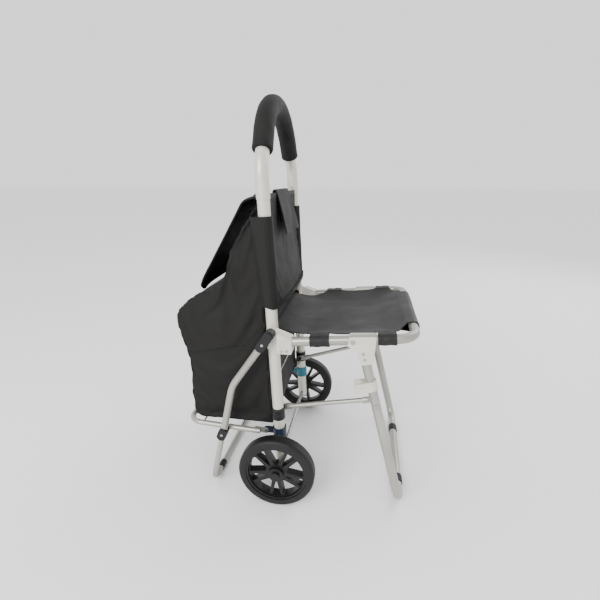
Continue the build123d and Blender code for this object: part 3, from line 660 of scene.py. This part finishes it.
def panel_place(across, along):
    """Fixed to the sleeves' front, fuller lower down where the back rests."""
    z = back_low + (back_high - back_low) * along
    side = 2 * across - 1
    belly = (1 - side ** 4) * (1.5 + 13 * (1 - along) ** 1.6)
    flare = 9 * (1 - along) ** 4 * abs(side) ** 3 * (1 if side > 0 else 0.35)
    forward = 9 + belly + flare
    return up(z - 5 * (1 - side ** 2) * (1 - along), forward * (1 - 0.45 * along), side * 151)


def panel_sewn(point):
    """Both sides and the top are sewn down, and the lower hem is a little stiff."""
    if abs(point.y) > 0.144 or point.z > 0.683:
        return 1.0
    return 0.25 if point.z < 0.472 else 0.0


panel = cloth_grid(56, 44, panel_place)
settle(panel, panel_sewn, frames=14, pressure=0, slack=0.03, cap=0.007)
apply_modifier(panel, "SOLIDIFY", thickness=0.0016, offset=0)
sew_in(panel, "back_panel", "frame", back_cloth, "bag_cloth", "backrest")

hems = []
low_edge = [panel_place(a / 16, 0.02) + Vector((0.0012, 0, 0)) for a in range(17)]
hems.append(ribbon(low_edge, (0, 0, 1), 9, 2.6, 80))
top_edge = [panel_place(a / 16, 0.985) for a in range(17)]
hems.append(ribbon(top_edge, (0, 0, 1), 9, 2.6, 80))
sew_in(join_pieces(hems), "back_hems", "frame", binding_cloth, "bag_cloth")

# ---- Backrest tab ----------------------------------------------------------
# A short doubled flap is sewn to the top of the backrest, turns over its hem
# and stands away from it at the bottom.
tab_line = curve_points(
    [up(z, forward, 0) for z, forward in
     ((687, -1), (694, -1), (697, 3), (692, 7), (668, 12), (640, 18), (612, 22), (603, 23.5))],
    41,
)


def tab_place(across, along):
    point = tab_line[round(along * 40)].copy()
    side = 2 * across - 1
    point.y = side * (0.070 if side < 0 else 0.052 + 0.016 * along)
    point.x += 0.0025 * along * side ** 2 + 0.0012 * sin(5 * side + 4 * along) * along
    return point


tab = cloth_grid(30, 40, tab_place)
tab_cloth = woven("tab_cloth", (0.009, 0.009, 0.0086), (0.018, 0.018, 0.0172), 0.0016, 0.75, 0.0)
apply_modifier(tab, "SOLIDIFY", thickness=0.0024, offset=0)
apply_modifier(tab, "BEVEL", width=0.0006, segments=2)
sew_in(tab, "back_tab", "frame", tab_cloth, "bag_cloth", "backrest_tab")

# ---- Foam grip -------------------------------------------------------------
# A sleeve of closed-cell foam is pushed over the top of the handle bow. It
# follows the bend, and its ends are rounded over down to the tube.
grip_radius, grip_bend, grip_centre = 20.5, 135.0, 646.1
grip_turn, grip_leg = radians(58), 40.6
grip_length = 2 * (grip_leg + grip_bend * grip_turn)
end_rows, end_round, tube_step = 0.04, 4.0, 2.7


def grip_place(around, along):
    """Along the bow's middle line from the near end, and round it."""
    s = (min(1 - end_rows, max(end_rows, along)) - end_rows) / (1 - 2 * end_rows) * grip_length
    edge = max(0.0, end_rows - min(along, 1 - along)) / end_rows
    turn = radians(90) * edge
    radius = grip_radius - end_round * (1 - cos(turn)) - (tube_step if edge > 0.97 else 0.0)
    radius += 0.12 * sin(3 * around * 2 * pi + s / 9) + 0.1 * sin(s / 5)
    part = s - grip_length / 2
    bend = max(-grip_turn, min(grip_turn, part / grip_bend))
    rest = part - bend * grip_bend
    y = grip_bend * sin(bend) + rest * cos(bend)
    up_plane = grip_centre + grip_bend * cos(bend) - rest * sin(bend)
    out_end = end_round * (sin(turn) - 1)
    if along < 0.5:
        out_end = -out_end
    angle = 2 * pi * around
    side = radius * cos(angle)
    y += out_end * cos(bend) + side * sin(bend)
    up_plane += side * cos(bend) - out_end * sin(bend)
    forward = radius * sin(angle)
    x = -up_plane * sin(lean) + forward * cos(lean)
    return at(x, y, axle_z + up_plane * cos(lean) + forward * sin(lean))


grip = cloth_grid(40, 150, grip_place)
bpy.ops.object.mode_set(mode="EDIT")
bpy.ops.mesh.select_all(action="SELECT")
bpy.ops.mesh.remove_doubles(threshold=0.00005)
bpy.ops.mesh.normals_make_consistent(inside=False)
bpy.ops.object.mode_set(mode="OBJECT")
foam = moulded("grip_foam", (0.003, 0.003, 0.0028), (0.009, 0.009, 0.0085), 0.7, 0.25)
sew_in(grip, "grip_foam", "frame", foam, "foam", "foam_grip")

# ---- Seat sling ------------------------------------------------------------
# One piece of coated cloth, pulled tight inside the hoop. Two tabs a side and
# the front edge are wrapped round the tube and sewn back underneath.
slope = radians(5.5)
seat_start = (tube_x(412) + 17 * sin(slope), 412 - 17 * cos(slope))


def on_seat(u, y, w):
    """A point u along the seat, y across it and w above its tubes' middle."""
    return at(seat_start[0] + u * cos(slope) - w * sin(slope), y,
              seat_start[1] + u * sin(slope) + w * cos(slope))


sling_cloth = woven(
    "sling_polyester", (0.006, 0.006, 0.0059), (0.0135, 0.0135, 0.0132), 0.0013, 0.55, 0.0, 0.7
)
tab_spans = ((84, 124), (221, 258))
sling_dip, tab_rise, front_rise, rear_rise = 7.0, 9.5, 10.6, 19.0
edge_widths = (
    (-6, 134), (30, 137), (52, 143), (72, 154), (85, 167.5), (104, 168), (123, 167.5), (132, 165),
    (150, 164), (172, 163.5), (194, 164), (212, 165), (222, 167.5), (240, 168), (256, 167.5),
    (263, 156), (270, 141), (276, 131), (284, 122), (296, 118),
)


def sling_half(u):
    """Half the sling's width at u: scooped between the tabs and at the corners."""
    for (u0, w0), (u1, w1) in zip(edge_widths, edge_widths[1:]):
        if u <= u1:
            t = max(0.0, (u - u0) / (u1 - u0))
            return w0 + (w1 - w0) * t * t * (3 - 2 * t)
    return edge_widths[-1][1]


def sling_place(across, along):
    u = 290 * along - 6
    side = 2 * across - 1
    half = sling_half(u)
    dip = -sling_dip * (1 - side ** 2) * sin(pi * min(1, max(0, (u + 30) / 330)))
    pull = tab_rise * min(1.0, max(0.0, (abs(side * half) - 110) / 58)) ** 1.5
    front = front_rise * min(1.0, max(0.0, (u - 225) / 59)) ** 1.4
    rear = rear_rise * max(0.0, 1 - (u + 6) / 84) ** 1.5
    return on_seat(u, side * half, 1.2 + dip + max(pull, front, rear))


def sling_sewn(point):
    u = (point.x * 1000 - axle_x - seat_start[0]) / cos(slope)
    y = abs(point.y * 1000)
    if u > 278 or u < 1:
        return 1.0
    for low, high in tab_spans:
        if low - 2 < u < high + 2 and y > 160:
            return 1.0
    return 0.0


sling = cloth_grid(96, 84, sling_place)
settle(sling, sling_sewn, frames=12, pressure=0, slack=0.012, cap=0.0045)
sling_skin = sling.copy()
sling_skin.data = sling.data.copy()
bpy.context.collection.objects.link(sling_skin)
apply_modifier(sling, "SOLIDIFY", thickness=0.0022, offset=0)
sew_in(sling, "seat_cloth", "seat", sling_cloth, "seat_cloth", "seat_sling")

side_tube_y, front_tube_u, front_half = 182, 296, 118
wraps = []
for sign in (-1, 1):
    for low, high in tab_spans:
        def wrap_place(across, along, sign=sign, low=low, high=high):
            """Up over the side tube, down its outside and back underneath."""
            turn = radians(90 - 292 * along)
            u = low + (high - low) * across
            out = 11.6 + 0.4 * sin(11 * across + 7 * along)
            if along < 0.001:
                return on_seat(u, sign * 163, 10.6)
            return on_seat(u, sign * (side_tube_y + out * cos(turn)), out * sin(turn))

        wraps.append(cloth_grid(14, 40, wrap_place))


def front_wrap_place(across, along):
    """Over the front cross tube, round it and back to the double stitching."""
    y = front_half * (2 * across - 1)
    turn = radians(100 - 190 * min(1, along / 0.72))
    out = 11.5 + 0.3 * sin(9 * across + 5 * along)
    if along > 0.72:
        back = (along - 0.72) / 0.28
        return on_seat(front_tube_u - 34 * back, y, -out + 7 * back)
    if along < 0.001:
        return on_seat(278, y, 10.2)
    return on_seat(front_tube_u + out * cos(turn), y, out * sin(turn))


wraps.append(cloth_grid(60, 44, front_wrap_place))
for wrap in wraps:
    apply_modifier(wrap, "SOLIDIFY", thickness=0.0016, offset=0)
sew_in(join_pieces(wraps), "seat_wraps", "seat", sling_cloth, "seat_cloth")

stitches = []
for u in (262, 267):
    run = [on_seat(u, y, 6 if abs(y) < 110 else 8) for y in range(-front_half, front_half + 1, 15)]
    stitches.append(ribbon(run, (1, 0, 0.1), 1.0, 0.7, 90))
for sign in (-1, 1):
    for low, high in tab_spans:
        for y in (158, 162):
            run = [on_seat(low + 3 + (high - low - 6) * t / 4, sign * y, 9) for t in range(5)]
            stitches.append(ribbon(run, (0, 1, 0), 1.0, 0.7, 24))
    rim = [on_seat(u, sign * (sling_half(u) - 3.5), 4) for u in range(0, 279, 9)]
    stitches.append(ribbon(rim, (0, 1, 0), 1.0, 0.7, 130))
rear_run = [on_seat(6, y, 18) for y in range(-130, 131, 13)]
stitches.append(ribbon(rear_run, (1, 0, 0.1), 1.0, 0.7, 90))
for stitch in stitches:
    lay_on(stitch, sling_skin, 1.35)
thread = woven("dark_thread", (0.008, 0.008, 0.008), (0.02, 0.02, 0.02), 0.0012, 0.5, 0.2)
hem_line = [sling_place(a / 12, 0.004) - Vector((0, 0, 0.005)) for a in range(13)]
hem = ribbon(hem_line, (-0.2, 0, 1), 12, 1.8, 90)
sew_in(join_pieces(stitches + [hem]), "seat_stitching", "seat", thread, "seat_cloth")

for spare in (bag_skin, lid_skin, sling_skin):
    bpy.data.objects.remove(spare)

# ---- Floor, light and camera -----------------------------------------------
# A plain pale floor that runs out of sight, a bright even surround, and two
# large soft lamps, one high on the wheel side and one behind.
bpy.ops.object.select_all(action="DESELECT")
bpy.ops.mesh.primitive_plane_add(size=60, location=(0, 0, 0))
floor = bpy.context.object
floor.name = "studio_floor"
pale, main = shader("pale_floor", (0.93, 0.93, 0.93), 0.9)
floor.data.materials.append(pale)

world = bpy.data.worlds.new("pale_surround")
world.use_nodes = True
world.node_tree.nodes["Background"].inputs["Color"].default_value = (1, 1, 1, 1)
world.node_tree.nodes["Background"].inputs["Strength"].default_value = 1.4
bpy.context.scene.world = world

for name, place, turn, size, power in (
    ("key_lamp", (-0.9, -2.4, 1.9), (60.5, 0, -20.6), 1.5, 75),
    ("back_lamp", (1.6, 1.8, 2.0), (53, 0, 138), 2.0, 30),
):
    bpy.ops.object.light_add(type="AREA", location=place, rotation=[radians(a) for a in turn])
    lamp = bpy.context.object
    lamp.name = name
    lamp.data.size = size
    lamp.data.energy = power

bpy.ops.object.camera_add(
    location=(0.1549, -0.909, 0.7202),
    rotation=(radians(90 - 18.7), 0, radians(9.37)),
)
camera = bpy.context.object
camera.data.lens = 23.28
camera.data.shift_x = -0.004
camera.data.shift_y = 0.016
camera.data.clip_start = 0.01
bpy.context.scene.camera = camera
